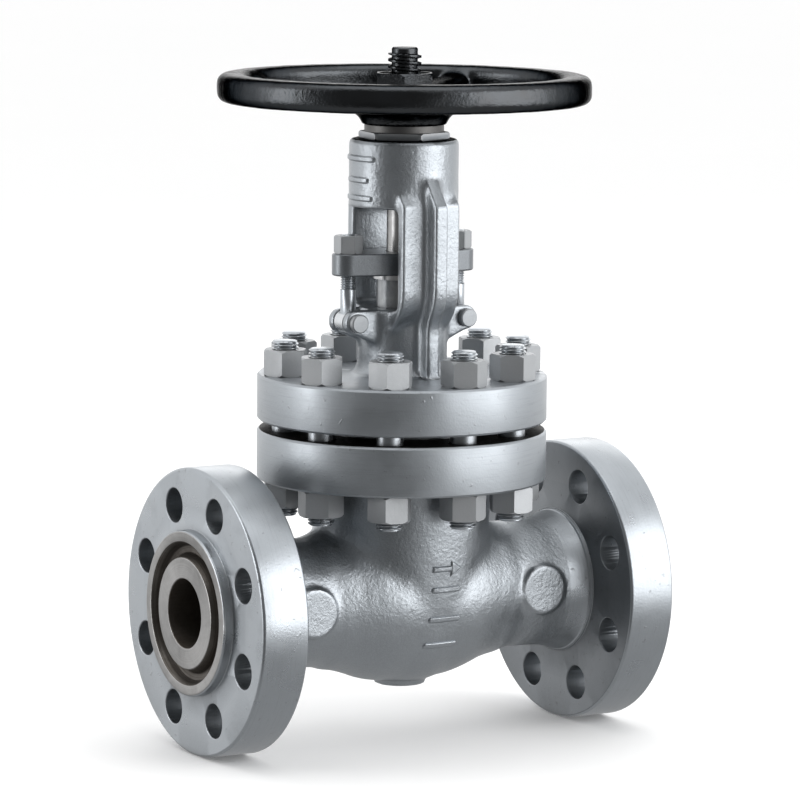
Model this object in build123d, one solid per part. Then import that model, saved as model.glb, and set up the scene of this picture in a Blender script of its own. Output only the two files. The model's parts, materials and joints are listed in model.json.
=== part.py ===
from build123d import *
import math
import os

# Two-inch, class 900, flanged globe valve with a bolted bonnet and a rising stem.
# Millimetres. While it is being modelled, X is the pipe axis, Z is the stem axis and the
# origin is where they cross. Every piece is lifted by AXIS_HEIGHT when it is written, so the
# finished row stands on z = 0 with the stem axis on the origin.

# ---- pipe ends -------------------------------------------------------------------------
FLANGE_R = 107.95
FLANGE_THICKNESS = 38.1
FLANGE_PLANE_X = 177.65
FACE_R = 62.0
FACE_HEIGHT = 7.92
BORE_R = 26.0
BOLT_CIRCLE_R = 82.55
BOLT_HOLE_R = 13.0
BOLT_COUNT = 8
GROOVE_PITCH_R = 47.625
GROOVE_WIDTH = 11.91
GROOVE_DEPTH = 7.92
GROOVE_ANGLE = 23.0
AXIS_HEIGHT = FLANGE_R
FACE_X = FLANGE_PLANE_X + FACE_HEIGHT
FLANGE_BACK_X = FLANGE_PLANE_X - FLANGE_THICKNESS

# ---- body casting ----------------------------------------------------------------------
BULB_HALF_HEIGHT = 64.5
NECK_R = 48.9
HUB_R = 55.5
HUB_COLLAR_WIDTH = 2.5
HUB_COLLAR_RISE = 1.2
KEG_R = 68.0
CREASE_FILLET = 8.0
NECK_TOP_FILLET = 3.5
BOTTOM_BOSS_R = 19.5
BOTTOM_BOSS_Z = -68.5
SIDE_BOSS_R = 19.0
SIDE_BOSS_CENTRES = ((-102.0, 0.5), (98.0, 2.5))
SIDE_BOSS_FACE_Y = 51.0
NECK_FLAT_Z = 47.0
NECK_FLAT_X = (76.0, 108.0)
CHAMBER_R = 43.0
CHAMBER_FLOOR_Z = 12.0
PASSAGE_R = 30.0
BOWL_R = 34.0
BOWL_Z = -18.0
BRIDGE_UNDERSIDE_Z = -1.0

# ---- bolted joint between body and bonnet ----------------------------------------------
JOINT_FLANGE_R = 109.6
JOINT_EDGE_CHAMFER = 1.6
BODY_FLANGE_BOTTOM_Z = 89.6
BODY_FLANGE_TOP_Z = 127.2
BONNET_FLANGE_BOTTOM_Z = 134.5
BONNET_FLANGE_TOP_Z = 169.2
STUD_CIRCLE_R = 90.0
STUD_COUNT = 10
STUD_FIRST_ANGLE = -90.0
STUD_R = 10.0
STUD_HOLE_R = 11.0
STUD_BOTTOM_Z = 63.0
STUD_TOP_Z = 195.7
STUD_NUT_FLATS = 30.0
STUD_NUT_HEIGHT = 19.8
UPPER_NUT_TURNS = (3.5, 20.5, 40.0, 50.5, 15.0, 5.5, 25.0, 10.5, 42.5, 57.5)
LOWER_NUT_TURNS = (3.5, 0.5, 47.0, 12.0, 33.0, 8.0, 51.0, 22.0, 1.5, 56.5)
RING_PITCH_R = 60.0
RING_HALF_HEIGHT = 10.6

# ---- bonnet and yoke casting -----------------------------------------------------------
SPIGOT_R = 42.7
SPIGOT_BOTTOM_Z = 112.0
BONNET_NECK_R = 33.75
BONNET_NECK_FILLET = 9.0
BOX_TOP_Z = 220.0
BOX_R = 20.1
BOX_FLOOR_Z = 176.0
ARM_HALF_WIDTH = 24.8
ARM_OUTER_Y = 42.0
ARM_INNER_Y = 33.0
WINDOW_TOP_Z = 296.0
WINDOW_CORNER_R = 6.0
FIN_HALF_WIDTH = 5.6
FIN_OUTER_Y = 57.0
FIN_FOOT_Y = 46.5
FIN_TIP_Z = 321.0
WEB_SHOULDER_Z = 299.0
WEB_TIP_Z = 311.0
HEAD_R = 41.3
HEAD_TOP_Z = 347.0
HEAD_EDGE_R = 3.5
HEAD_FLOOR_Z = 306.0
HEAD_BORE_R = 30.0

# ---- gland -----------------------------------------------------------------------------
PIN_X = 47.5
PIN_Z = 210.5
PIN_R = 5.0
PIN_HEAD_R = 7.0
PIN_HEAD_LENGTH = 5.0
LUG_END_R = 9.5
LUG_INNER_Y = 6.4
LUG_OUTER_Y = 14.6
LUG_FOOT_X = 29.4
LUG_FOOT_Z = 193.0
EYE_R = 8.5
EYE_HALF_WIDTH = 6.0
EYEBOLT_R = 5.9
EYEBOLT_TOP_Z = 276.2
GLAND_PLATE_BOTTOM_Z = 245.4
GLAND_PLATE_TOP_Z = 262.0
GLAND_END_R = 12.4
GLAND_MIDDLE_R = 24.5
GLAND_NUT_FLATS = 19.0
GLAND_NUT_HEIGHT = 13.6
GLAND_NUT_TURN = 29.5
FOLLOWER_R = 19.7
FOLLOWER_LIP_R = 22.6
PACKING_RING_COUNT = 5
PACKING_RING_PITCH = 6.4
PACKING_RING_HEIGHT = 6.3

# ---- stem, disc and seat ---------------------------------------------------------------
STEM_R = 12.55
STEM_TIP_R = 9.7
STEM_TOP_Z = 415.0
STEM_THREAD_TOP_Z = 411.0
STEM_COLLAR_R = 17.0
SEAT_RING_TOP_Z = 17.0
SEAT_RING_COLLAR_R = 34.0
SEAT_RING_SHANK_R = 29.0
SEAT_FACE_R = 29.4
DISC_R = 32.0
DISC_NUT_R = 21.0
RUNNING_GAP = 0.1
KEYWAY_BOTTOM_Z = 278.0
KEYWAY_DEPTH = 3.0
KEY_WIDTH = 6.0

# ---- drive -----------------------------------------------------------------------------
CAP_FLATS = 60.2
CAP_TURN = 20.8
CAP_TOP_Z = 352.0
CAP_SPIGOT_Z = 326.0
SLEEVE_R = 19.0
SLEEVE_FLANGE_R = 28.0
SLEEVE_BORE_R = 12.62
SLEEVE_TOP_Z = 393.0
WHEEL_WASHER_R = 30.0
HUB_BOTTOM_Z = 357.3
HUB_BOTTOM_R = 32.5
HUB_TOP_Z = 384.0
WHEEL_NUT_FLATS = 41.0
WHEEL_NUT_TOP_Z = 396.0
RIM_R = 140.8
RIM_WIDTH = 24.0
RIM_BOTTOM_Z = 373.5
RIM_TOP_Z = 395.0
SPOKE_COUNT = 4
SPOKE_FIRST_ANGLE = 39.5
SPOKE_WIDTH = 22.0
SPOKE_HEIGHT = 13.0

SIDES = {"inlet": -1, "outlet": 1}


def tube(outer_r, inner_r, bottom_z, top_z):
    """Upright ring between two heights; inner_r of 0 makes a solid rod."""
    height = top_z - bottom_z
    ring = extrude(Circle(outer_r), height)
    if inner_r > 0:
        ring -= extrude(Circle(inner_r), height)
    return Pos(0, 0, bottom_z) * ring


def hexagon(across_flats, bottom_z, top_z, bore_r, chamfer_mm):
    """Upright hexagonal nut with its corners turned off at both ends."""
    height = top_z - bottom_z
    corner_r = across_flats / math.sqrt(3)
    blank = extrude(RegularPolygon(corner_r, 6), height)
    turned = chamfer(extrude(Circle(corner_r), height).edges(), chamfer_mm)
    nut = blank & turned
    if bore_r > 0:
        nut -= extrude(Circle(bore_r), height)
    return Pos(0, 0, bottom_z) * nut


def along_x(shape, side):
    """Turn an upright shape so that its +Z points along +X or -X."""
    return Rot(0, 90 * side, 0) * shape


def ring_of(shape, count, first_angle):
    """Copies of a shape evenly spaced about the stem axis."""
    return [Rot(0, 0, first_angle + i * 360 / count) * shape for i in range(count)]


def groove_profile(pitch_r, face_z, direction):
    """Trapezoid of a ring-joint groove cut into a face at face_z, towards direction."""
    half_top = GROOVE_WIDTH / 2
    half_bottom = half_top - GROOVE_DEPTH * math.tan(math.radians(GROOVE_ANGLE))
    deep_z = face_z + direction * GROOVE_DEPTH
    return Plane.XZ * make_face(Polyline(
        (pitch_r - half_top, face_z),
        (pitch_r + half_top, face_z),
        (pitch_r + half_bottom, deep_z),
        (pitch_r - half_bottom, deep_z),
        close=True,
    ))


def joint_flange(bottom_z, top_z):
    """Round flange of the body-to-bonnet joint with its stud holes."""
    disc = extrude(Circle(JOINT_FLANGE_R), top_z - bottom_z)
    disc = chamfer(disc.edges(), JOINT_EDGE_CHAMFER)
    flange = Pos(0, 0, bottom_z) * disc
    hole = Pos(STUD_CIRCLE_R, 0, 0) * tube(STUD_HOLE_R, 0, bottom_z, top_z)
    for cutter in ring_of(hole, STUD_COUNT, STUD_FIRST_ANGLE):
        flange -= cutter
    return flange


def pipe_end():
    """Outlet neck, hub and pipe flange, turned about the pipe axis."""
    collar_x = FLANGE_BACK_X - HUB_COLLAR_WIDTH
    hub_end_r = HUB_R - HUB_COLLAR_RISE
    hub = Spline((112, NECK_R), (128, 51.2), (collar_x, hub_end_r), tangents=((1, 0), (1, 0.55)))
    outline = Curve() + [
        Line((60, 0), (60, NECK_R)),
        Line((60, NECK_R), (112, NECK_R)),
        hub,
        Polyline(
            (collar_x, hub_end_r),
            (collar_x, HUB_R),
            (FLANGE_BACK_X, HUB_R),
            (FLANGE_BACK_X, FLANGE_R - 1.5),
            (FLANGE_BACK_X + 1.5, FLANGE_R),
            (FLANGE_PLANE_X - 1.5, FLANGE_R),
            (FLANGE_PLANE_X, FLANGE_R - 1.5),
            (FLANGE_PLANE_X, FACE_R),
            (FACE_X - 1.0, FACE_R),
            (FACE_X, FACE_R - 1.0),
            (FACE_X, 0),
            (60, 0),
        ),
    ]
    return revolve(Plane.XZ * make_face(outline), Axis.X)


def bulb():
    """Swollen middle of the pipe, deeper than it is wide, through oval sections along X."""
    half_sections = [(30, 60.5, 63.5), (46, 57.5, 59.0), (62, 53.2, 53.6), (80, NECK_R, NECK_R)]
    sections = [(-x, wide, tall) for x, wide, tall in reversed(half_sections)]
    sections += [(0, 61.5, BULB_HALF_HEIGHT)] + half_sections
    ovals = [Plane.YZ.offset(x) * Ellipse(wide, tall) for x, wide, tall in sections]
    return loft(ovals)


def keg():
    """Upright rounded neck that carries the joint flange and reaches down through the bulb."""
    fillet_z = BODY_FLANGE_BOTTOM_Z - NECK_TOP_FILLET
    fillet_r = KEG_R + NECK_TOP_FILLET
    outline = Curve() + [
        Line((0, 0), (0, -66.5)),
        Spline((0, -66.5), (26, -62), (47, -45), (60, -15), (65, 25), (KEG_R, 76),
               tangents=((1, 0), (0.05, 1))),
        Line((KEG_R, 76), (KEG_R, fillet_z)),
        RadiusArc((KEG_R, fillet_z), (fillet_r, BODY_FLANGE_BOTTOM_Z), -NECK_TOP_FILLET),
        Polyline((fillet_r, BODY_FLANGE_BOTTOM_Z), (fillet_r, 95), (0, 95), (0, 0)),
    ]
    return revolve(Plane.XZ * make_face(outline), Axis.Z)


def blended_middle():
    """Keg and bulb as one casting, with the crease where they meet filled in."""
    middle = bulb() + keg()
    creases = [
        edge for edge in middle.edges().filter_by(GeomType.BSPLINE)
        if edge.length > 15 and edge.bounding_box().size.Y > 1
        and abs(edge.center().X) < KEG_R and edge.bounding_box().size.X > 1
    ]
    return fillet(creases, CREASE_FILLET)


def body_outside():
    """Body casting without its cavities: pipe, keg-shaped neck, joint flange and bosses."""
    end = pipe_end()
    casting = blended_middle() + end + mirror(end, about=Plane.YZ)
    casting += joint_flange(BODY_FLANGE_BOTTOM_Z, BODY_FLANGE_TOP_Z)
    casting += tube(BOTTOM_BOSS_R, 0, BOTTOM_BOSS_Z, -40)
    boss = extrude(Circle(SIDE_BOSS_R), SIDE_BOSS_FACE_Y * 2)
    boss = chamfer(boss.edges(), 1.0)
    for x, z in SIDE_BOSS_CENTRES:
        casting += Pos(x, SIDE_BOSS_FACE_Y, z) * Rot(90, 0, 0) * boss
    flat_length = NECK_FLAT_X[1] - NECK_FLAT_X[0]
    shaving = Pos(sum(NECK_FLAT_X) / 2, 0, -NECK_FLAT_Z - 5) * Box(flat_length, 60, 10)
    return casting - shaving


def flow_cavity():
    """Inlet bore, bowl below the seat, chamber above it, and the outlet bore."""
    half_outline = Polyline(
        (0, 0), (0, PASSAGE_R), (74, PASSAGE_R), (96, BORE_R), (FACE_X, BORE_R), (FACE_X, 0), (0, 0)
    )
    half = revolve(Plane.XZ * make_face(half_outline), Axis.X)
    passage = half + mirror(half, about=Plane.YZ)

    inlet_side = Polyline(
        (-FACE_X, -60), (-FACE_X, 40), (-123.5, 40), (-40, BRIDGE_UNDERSIDE_Z),
        (0, BRIDGE_UNDERSIDE_Z), (0, -60), close=True,
    )
    outlet_side = Polyline(
        (0, CHAMBER_FLOOR_Z), (36, CHAMBER_FLOOR_Z), (112, -37), (FACE_X, -37), (FACE_X, 60), (0, 60),
        close=True,
    )
    half_depth = PASSAGE_R + 5
    inlet = passage & extrude(Plane.XZ * make_face(inlet_side), half_depth, both=True)
    outlet = passage & extrude(Plane.XZ * make_face(outlet_side), half_depth, both=True)

    bowl = Pos(0, 0, BOWL_Z) * Sphere(BOWL_R)
    bowl &= Pos(0, 0, BRIDGE_UNDERSIDE_Z - 50) * Box(100, 100, 100)
    chamber = tube(CHAMBER_R, 0, CHAMBER_FLOOR_Z, BODY_FLANGE_TOP_Z)
    seat_hole = tube(SEAT_RING_SHANK_R, 0, BRIDGE_UNDERSIDE_Z - 2, CHAMBER_FLOOR_Z)
    return inlet + outlet + bowl + chamber + seat_hole


def make_body():
    body = body_outside() - flow_cavity()
    hole = Pos(BOLT_CIRCLE_R, 0, 0) * tube(BOLT_HOLE_R, 0, FLANGE_BACK_X - 5, FACE_X)
    half_step = 180 / BOLT_COUNT
    holes = ring_of(hole, BOLT_COUNT, half_step)
    groove = revolve(groove_profile(GROOVE_PITCH_R, FACE_X, -1), Axis.Z)
    for side in SIDES.values():
        for cutter in holes:
            body -= along_x(cutter, side)
        body -= along_x(groove, side)
    body -= revolve(groove_profile(RING_PITCH_R, BODY_FLANGE_TOP_Z, -1), Axis.Z)
    return body


def make_seat_ring():
    """Screwed-in seat ring with a conical seating face."""
    outline = Polyline(
        (BORE_R, 1.0), (SEAT_RING_SHANK_R, 1.0), (SEAT_RING_SHANK_R, CHAMBER_FLOOR_Z),
        (SEAT_RING_COLLAR_R, CHAMBER_FLOOR_Z), (SEAT_RING_COLLAR_R, SEAT_RING_TOP_Z),
        (SEAT_FACE_R, SEAT_RING_TOP_Z), (BORE_R, SEAT_RING_TOP_Z - 4.0), close=True,
    )
    return revolve(Plane.XZ * make_face(outline), Axis.Z)


def make_bonnet_gasket():
    """Octagonal ring that seats on the sloped walls of the two joint grooves."""
    middle_z = (BODY_FLANGE_TOP_Z + BONNET_FLANGE_BOTTOM_Z) / 2
    shoulder = (BONNET_FLANGE_BOTTOM_Z - BODY_FLANGE_TOP_Z) / 2
    half_wide = GROOVE_WIDTH / 2
    half_narrow = half_wide - (RING_HALF_HEIGHT - shoulder) * math.tan(math.radians(GROOVE_ANGLE))
    outline = Polyline(
        (RING_PITCH_R - half_wide, middle_z - shoulder),
        (RING_PITCH_R - half_narrow, middle_z - RING_HALF_HEIGHT),
        (RING_PITCH_R + half_narrow, middle_z - RING_HALF_HEIGHT),
        (RING_PITCH_R + half_wide, middle_z - shoulder),
        (RING_PITCH_R + half_wide, middle_z + shoulder),
        (RING_PITCH_R + half_narrow, middle_z + RING_HALF_HEIGHT),
        (RING_PITCH_R - half_narrow, middle_z + RING_HALF_HEIGHT),
        (RING_PITCH_R - half_wide, middle_z + shoulder),
        close=True,
    )
    return revolve(Plane.XZ * make_face(outline), Axis.Z)


def web_outline():
    """Side view of both webs: upright outer faces that sweep in to the bonnet neck."""
    foot_y = 22.0
    foot_z = 203.0
    bend_z = 236.0
    sweep = Spline((ARM_OUTER_Y, bend_z), (35.5, 216), (foot_y, foot_z), tangents=((0, -1), (-1, -0.6)))
    right = Curve() + [
        Polyline((0, WEB_TIP_Z), (ARM_INNER_Y, WEB_TIP_Z), (ARM_OUTER_Y, WEB_SHOULDER_Z),
                 (ARM_OUTER_Y, bend_z)),
        sweep,
        Polyline((foot_y, foot_z), (0, foot_z), (0, WEB_TIP_Z)),
    ]
    half = make_face(right)
    return half + mirror(half, about=Plane.YZ)


def fin_outline():
    """Side view of one fin, from the bonnet flange to its pointed end on the yoke head."""
    foot_z = BONNET_FLANGE_TOP_Z - 2
    bend = Spline((FIN_OUTER_Y, 238), (52.5, 220), (FIN_FOOT_Y, 203), tangents=((0, -1), (0, -1)))
    return make_face(Curve() + [
        Polyline((30, foot_z), (30, 206), (36, 215), (36, FIN_TIP_Z), (HEAD_R - 1, FIN_TIP_Z),
                 (FIN_OUTER_Y, WEB_SHOULDER_Z), (FIN_OUTER_Y, 238)),
        bend,
        Polyline((FIN_FOOT_Y, 203), (FIN_FOOT_Y, foot_z), (30, foot_z)),
    ])


def yoke_arms():
    """Two arms with the window between them, and a fin down the outside of each."""
    arms = extrude(Plane.YZ * web_outline(), ARM_HALF_WIDTH, both=True)
    window_height = WINDOW_TOP_Z - BOX_TOP_Z
    window = RectangleRounded(2 * ARM_INNER_Y, window_height, WINDOW_CORNER_R)
    window = Plane.YZ * Pos(0, BOX_TOP_Z + window_height / 2) * window
    arms -= extrude(window, ARM_HALF_WIDTH + 1, both=True)
    fin = extrude(Plane.YZ * fin_outline(), FIN_HALF_WIDTH, both=True)
    arms += fin + mirror(fin, about=Plane.XZ)
    return arms


def gland_lugs():
    """Two pairs of ears that carry the eyebolt pins."""
    lugs = []
    ear_outline = make_face(Polyline(
        (20, PIN_Z + LUG_END_R), (PIN_X, PIN_Z + LUG_END_R),
        (PIN_X, PIN_Z - LUG_END_R), (LUG_FOOT_X, LUG_FOOT_Z), (20, LUG_FOOT_Z - 5),
        close=True,
    ))
    ear = ear_outline + Pos(PIN_X, PIN_Z) * Circle(LUG_END_R)
    ear -= Pos(PIN_X, PIN_Z) * Circle(PIN_R)
    thickness = LUG_OUTER_Y - LUG_INNER_Y
    plate = extrude(Plane.XZ * ear, thickness)
    for y in (-LUG_INNER_Y, LUG_OUTER_Y):
        for flip in (0, 180):
            lugs.append(Rot(0, 0, flip) * Pos(0, y, 0) * plate)
    return lugs


def make_bonnet():
    """Bonnet flange, stuffing box, yoke arms and yoke head as one casting."""
    bonnet = joint_flange(BONNET_FLANGE_BOTTOM_Z, BONNET_FLANGE_TOP_Z)
    bonnet += tube(SPIGOT_R, 0, SPIGOT_BOTTOM_Z, BONNET_FLANGE_BOTTOM_Z)
    foot_outline = Curve() + [
        Polyline((0, 160), (BONNET_NECK_R + BONNET_NECK_FILLET, 160),
                 (BONNET_NECK_R + BONNET_NECK_FILLET, BONNET_FLANGE_TOP_Z)),
        RadiusArc((BONNET_NECK_R + BONNET_NECK_FILLET, BONNET_FLANGE_TOP_Z),
                  (BONNET_NECK_R, BONNET_FLANGE_TOP_Z + BONNET_NECK_FILLET), BONNET_NECK_FILLET),
        Polyline((BONNET_NECK_R, BONNET_FLANGE_TOP_Z + BONNET_NECK_FILLET),
                 (BONNET_NECK_R, BOX_TOP_Z), (0, BOX_TOP_Z), (0, 160)),
    ]
    bonnet += revolve(Plane.XZ * make_face(foot_outline), Axis.Z)
    head = fillet(extrude(Circle(HEAD_R), HEAD_TOP_Z - WINDOW_TOP_Z).edges().group_by(Axis.Z)[-1],
                  HEAD_EDGE_R)
    bonnet += Pos(0, 0, WINDOW_TOP_Z) * head
    bonnet += yoke_arms()
    for lug in gland_lugs():
        bonnet += lug
    bonnet -= tube(BOX_R, 0, BOX_FLOOR_Z, BOX_TOP_Z)
    bonnet -= tube(STEM_R + 0.6, 0, SPIGOT_BOTTOM_Z, BOX_TOP_Z)
    bonnet -= tube(24.0, 0, SPIGOT_BOTTOM_Z, SPIGOT_BOTTOM_Z + 14)
    bonnet -= tube(STEM_R + 0.6, 0, WINDOW_TOP_Z, HEAD_TOP_Z)
    bonnet -= tube(HEAD_BORE_R, 0, HEAD_FLOOR_Z, HEAD_TOP_Z)
    bonnet -= revolve(groove_profile(RING_PITCH_R, BONNET_FLANGE_BOTTOM_Z, 1), Axis.Z)
    bonnet -= key_block()
    bonnet -= cap_screw_blank()
    return bonnet


def make_bonnet_studs():
    stud = chamfer(extrude(Circle(STUD_R), STUD_TOP_Z - STUD_BOTTOM_Z).edges(), 1.6)
    stud = Pos(STUD_CIRCLE_R, 0, STUD_BOTTOM_Z) * stud
    return Compound(children=ring_of(stud, STUD_COUNT, STUD_FIRST_ANGLE))


def make_bonnet_nuts(bottom_z, turns):
    """Ring of nuts, each left at the angle where it was tightened."""
    nut = hexagon(STUD_NUT_FLATS, bottom_z, bottom_z + STUD_NUT_HEIGHT, STUD_R, 1.7)
    nuts = []
    for i, turn in enumerate(turns):
        place = Rot(0, 0, STUD_FIRST_ANGLE + i * 360 / STUD_COUNT) * Pos(STUD_CIRCLE_R, 0, 0)
        nuts.append(place * Rot(0, 0, turn) * nut)
    return Compound(children=nuts)


def make_backseat_bushing():
    """Bushing under the stuffing box that the raised stem seals against."""
    outline = Polyline(
        (STEM_R + 0.5, SPIGOT_BOTTOM_Z + 4), (STEM_R + 4.5, SPIGOT_BOTTOM_Z),
        (24.0, SPIGOT_BOTTOM_Z), (24.0, SPIGOT_BOTTOM_Z + 14),
        (STEM_R + 0.5, SPIGOT_BOTTOM_Z + 14), close=True,
    )
    return revolve(Plane.XZ * make_face(outline), Axis.Z)


def make_packing_washer():
    return tube(BOX_R, STEM_R + 0.3, BOX_FLOOR_Z, BOX_FLOOR_Z + 3)


def make_packing_rings():
    """Stack of braided rings, each a separate solid, from the washer up."""
    ring = tube(BOX_R, STEM_R + 0.05, 0, PACKING_RING_HEIGHT)
    first_z = BOX_FLOOR_Z + 3
    return Compound(children=[
        Pos(0, 0, first_z + i * PACKING_RING_PITCH) * ring for i in range(PACKING_RING_COUNT)
    ])


def make_gland_follower():
    top_of_packing = BOX_FLOOR_Z + 3 + PACKING_RING_COUNT * PACKING_RING_PITCH
    sleeve = tube(FOLLOWER_R, STEM_R + 0.4, top_of_packing, GLAND_PLATE_BOTTOM_Z)
    lip = tube(FOLLOWER_LIP_R, STEM_R + 0.4, GLAND_PLATE_BOTTOM_Z - 4, GLAND_PLATE_BOTTOM_Z)
    return sleeve + lip


def make_gland_flange():
    """Oval plate that presses the follower down when its nuts are tightened."""
    plate = make_hull(
        (Circle(GLAND_MIDDLE_R) + Pos(PIN_X, 0) * Circle(GLAND_END_R)
         + Pos(-PIN_X, 0) * Circle(GLAND_END_R)).edges()
    )
    height = GLAND_PLATE_TOP_Z - GLAND_PLATE_BOTTOM_Z
    flange = extrude(plate, height)
    flange = fillet(flange.edges().group_by(Axis.Z)[-1] + flange.edges().group_by(Axis.Z)[0], 1.5)
    flange -= extrude(Circle(STEM_R + 0.8), height)
    for x in (-PIN_X, PIN_X):
        flange -= Pos(x, 0, 0) * extrude(Circle(EYEBOLT_R + 0.8), height)
    return Pos(0, 0, GLAND_PLATE_BOTTOM_Z) * flange


def make_eyebolt(x):
    """Swing bolt: an eye on the pin with a threaded shank above it."""
    shank = extrude(Circle(EYEBOLT_R), EYEBOLT_TOP_Z - PIN_Z)
    shank = chamfer(shank.edges().group_by(Axis.Z)[-1], 1.2)
    eye = Rot(90, 0, 0) * extrude(Circle(EYE_R), EYE_HALF_WIDTH, both=True)
    hole = Rot(90, 0, 0) * extrude(Circle(PIN_R + RUNNING_GAP), EYE_HALF_WIDTH + 1, both=True)
    return Pos(x, 0, PIN_Z) * (shank + eye - hole)


def make_gland_pin(x):
    """Headed pin through both ears, riveted over at the far end."""
    length = 2 * LUG_OUTER_Y
    shank = extrude(Circle(PIN_R), length)
    head = Pos(0, 0, length) * chamfer(
        extrude(Circle(PIN_HEAD_R), PIN_HEAD_LENGTH).edges().group_by(Axis.Z)[-1], 0.8)
    tail = Pos(0, 0, -2) * extrude(Circle(PIN_R + 0.8), 2)
    return Pos(x, LUG_OUTER_Y, PIN_Z) * Rot(90, 0, 0) * (shank + head + tail)


def make_gland_nut(x):
    top_z = GLAND_PLATE_TOP_Z + GLAND_NUT_HEIGHT
    nut = hexagon(GLAND_NUT_FLATS, GLAND_PLATE_TOP_Z, top_z, EYEBOLT_R + 0.1, 1.1)
    return Pos(x, 0, 0) * Rot(0, 0, GLAND_NUT_TURN) * nut


def key_block():
    """Key fixed in the yoke head that runs in the stem's keyway and stops it turning."""
    inner_x = STEM_R - KEYWAY_DEPTH + RUNNING_GAP
    outer_x = 22.0
    block = Box(outer_x - inner_x, KEY_WIDTH, 8.0)
    return Pos((inner_x + outer_x) / 2, 0, WINDOW_TOP_Z + 6.0) * block


def make_stem():
    """Rising stem: head held in the disc, backseat cone, plain shank, screw and plain tip."""
    outline = Polyline(
        (0, 24), (STEM_COLLAR_R, 24), (STEM_COLLAR_R, 31), (STEM_R, 31),
        (STEM_R, 86), (STEM_COLLAR_R - 0.5, 88), (STEM_COLLAR_R - 0.5, 90), (STEM_R, 94),
        (STEM_R, STEM_THREAD_TOP_Z - 2), (STEM_TIP_R, STEM_THREAD_TOP_Z),
        (STEM_TIP_R, STEM_TOP_Z - 1), (STEM_TIP_R - 1, STEM_TOP_Z), (0, STEM_TOP_Z), close=True,
    )
    stem = revolve(Plane.XZ * make_face(outline), Axis.Z)
    keyway_top_z = WINDOW_TOP_Z + 14
    keyway = Box(2 * KEYWAY_DEPTH, KEY_WIDTH + RUNNING_GAP, keyway_top_z - KEYWAY_BOTTOM_Z)
    return stem - Pos(STEM_R, 0, (KEYWAY_BOTTOM_Z + keyway_top_z) / 2) * keyway


def make_disc():
    """Plug-shaped disc with a conical face, hollow for the head of the stem."""
    rise = RUNNING_GAP
    pocket_r = DISC_NUT_R + RUNNING_GAP / 2
    outline = Polyline(
        (0, 8), (BORE_R - 2, 8), (BORE_R - rise, SEAT_RING_TOP_Z - 4.0 + rise),
        (SEAT_FACE_R - rise, SEAT_RING_TOP_Z + rise), (DISC_R, SEAT_RING_TOP_Z + 2.5), (DISC_R, 42),
        (pocket_r, 42), (pocket_r, 32), (STEM_COLLAR_R + 0.6, 32),
        (STEM_COLLAR_R + 0.6, 24 - RUNNING_GAP), (0, 24 - RUNNING_GAP), close=True,
    )
    return revolve(Plane.XZ * make_face(outline), Axis.Z)


def make_disc_nut():
    """Nut screwed into the disc that traps the head of the stem."""
    shank = tube(DISC_NUT_R, STEM_R + 0.5, 32, 42)
    hexagonal = hexagon(40.0, 42, 52, STEM_R + 0.5, 1.5)
    return shank + hexagonal


def make_yoke_cap():
    """Hexagonal ring screwed into the yoke head that holds the sleeve down."""
    shank = tube(HEAD_BORE_R, SLEEVE_R + 0.5, CAP_SPIGOT_Z, HEAD_TOP_Z)
    hexagonal = hexagon(CAP_FLATS, HEAD_TOP_Z, CAP_TOP_Z, SLEEVE_R + 0.5, 1.2)
    return shank + Rot(0, 0, CAP_TURN) * hexagonal - cap_screw_blank()


def cap_screw_blank():
    """Grub screw that locks the cap, across the joint between cap and head."""
    screw = extrude(Circle(2.5), 10)
    return Rot(0, 0, 75) * Pos(HEAD_BORE_R - 2, 0, HEAD_TOP_Z - 8) * Rot(0, 90, 0) * screw


def make_yoke_sleeve():
    """Bronze sleeve with the female screw, turned by the handwheel."""
    sleeve = tube(SLEEVE_FLANGE_R, SLEEVE_BORE_R, 309, 321)
    sleeve += tube(SLEEVE_R, SLEEVE_BORE_R, 321, SLEEVE_TOP_Z)
    return sleeve - wheel_key_block()


def wheel_key_block():
    key = Box(6.0, 6.0, 20.0)
    return Pos(SLEEVE_R, 0, 372.0) * key


def make_handwheel():
    """Cast handwheel: rounded rim, spokes and a hub that flares into them."""
    section_z = (RIM_BOTTOM_Z + RIM_TOP_Z) / 2
    section = RectangleRounded(RIM_WIDTH, RIM_TOP_Z - RIM_BOTTOM_Z, 7.0)
    rim = revolve(Plane.XZ * Pos(RIM_R - RIM_WIDTH / 2, section_z) * section, Axis.Z)

    flare = Spline((HUB_BOTTOM_R, 359.5), (36.3, 365), (50, 370), tangents=((0, 1), (1, 0.1)))
    hub_outline = Curve() + [
        Polyline((SLEEVE_R, HUB_BOTTOM_Z), (HUB_BOTTOM_R, HUB_BOTTOM_Z), (HUB_BOTTOM_R, 359.5)),
        flare,
        Polyline((50, 370), (50, 379), (32, HUB_TOP_Z), (SLEEVE_R, HUB_TOP_Z),
                 (SLEEVE_R, HUB_BOTTOM_Z)),
    ]
    hub = revolve(Plane.XZ * make_face(hub_outline), Axis.Z)

    rise = 0.07
    spoke_plane = Plane(origin=(30, 0, 376.5), x_dir=(0, 1, 0), z_dir=(1, 0, rise))
    spoke_length = RIM_R - RIM_WIDTH / 2 - 30
    spoke = extrude(spoke_plane * RectangleRounded(SPOKE_WIDTH, SPOKE_HEIGHT, 5.5), spoke_length)
    wheel = rim + hub
    for arm in ring_of(spoke, SPOKE_COUNT, SPOKE_FIRST_ANGLE):
        wheel += arm
    return wheel - wheel_key_block()


def save(name, shape):
    """Write one piece, lifted so that the row stands on z = 0."""
    export_step(Pos(0, 0, AXIS_HEIGHT) * shape, f"parts/{name}.step")


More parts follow.
